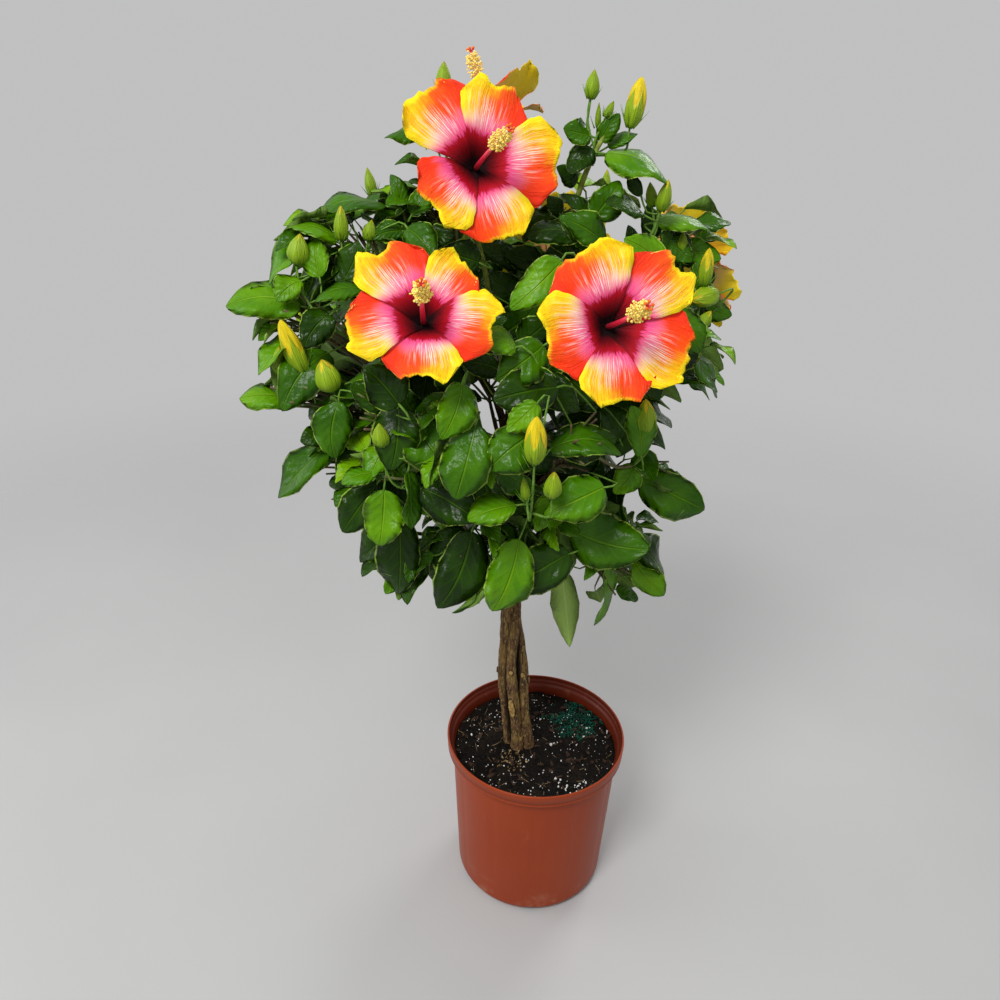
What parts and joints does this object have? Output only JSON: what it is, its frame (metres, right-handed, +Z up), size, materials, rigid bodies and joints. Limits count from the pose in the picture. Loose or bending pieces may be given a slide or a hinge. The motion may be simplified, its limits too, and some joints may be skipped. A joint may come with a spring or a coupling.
{
  "type": "potted hibiscus tree with braided trunk",
  "caption": "Hibiscus trained as a small tree: braided trunk with an open rounded crown of glossy leaves, buds and wide open blooms, in a round nursery pot.",
  "frame": {"origin": "centre of the pot's flat underside, at the surface that the pot stands on", "axes": "+Z up along the trunk, -Y towards the side where the big blooms face, +X to the right as seen from that side"},
  "size_m": [0.5528, 0.5154, 1.0951],
  "materials": {
    "pot": "semi-gloss moulded plastic",
    "potting_mix": "damp crumbly potting mix",
    "bark": "furrowed grey-brown bark",
    "leaves": "glossy leaves",
    "petals": "satin petals"
  },
  "bodies": {
    "root": {"pot": "pot", "potting_mix": "potting_mix", "trunk": "bark", "leader_top_right": "bark", "leader_top_left": "bark", "leader_rear_upper_right": "bark", "leader_front_upper_left": "bark", "leader_front_upper_right": "bark", "bough_upper_left": "bark", "bough_left_high": "bark", "bough_left": "bark", "bough_front_left": "bark", "bough_front": "bark", "bough_front_right": "bark", "bough_right": "bark", "bough_right_low": "bark", "bough_low_left": "bark", "bough_low_front": "bark", "bough_low_front_right": "bark", "bough_low_right": "bark", "bough_tall_shoot": "bark", "bough_upper_right": "bark", "bough_rear_upper_left": "bark", "bough_rear_left": "bark", "bough_rear_middle": "bark", "bough_rear_right": "bark", "bough_rear_low": "bark", "bloom_top": "petals", "bloom_left": "petals", "bloom_right": "petals", "bloom_top_rear": "petals", "bloom_rear_middle": "petals", "bloom_rear_right_high": "petals", "bloom_rear_right_low": "petals", "foliage_upper_left": "leaves", "foliage_left_high": "leaves", "foliage_left": "leaves", "foliage_front_upper_left": "leaves", "foliage_front_left": "leaves", "foliage_front": "leaves", "foliage_front_right": "leaves", "foliage_front_upper_right": "leaves", "foliage_right": "leaves", "foliage_right_low": "leaves", "foliage_low_left": "leaves", "foliage_low_left_hanging": "leaves", "foliage_low_front": "leaves", "foliage_low_front_right": "leaves", "foliage_low_right": "leaves", "foliage_top_left": "leaves", "foliage_top_right": "leaves", "foliage_tall_shoot": "leaves", "foliage_upper_right": "leaves", "foliage_rear_upper_left": "leaves", "foliage_rear_upper_right": "leaves", "foliage_rear_left": "leaves", "foliage_rear_middle": "leaves", "foliage_rear_right": "leaves", "foliage_rear_low": "leaves"}
  },
  "joints": []
}
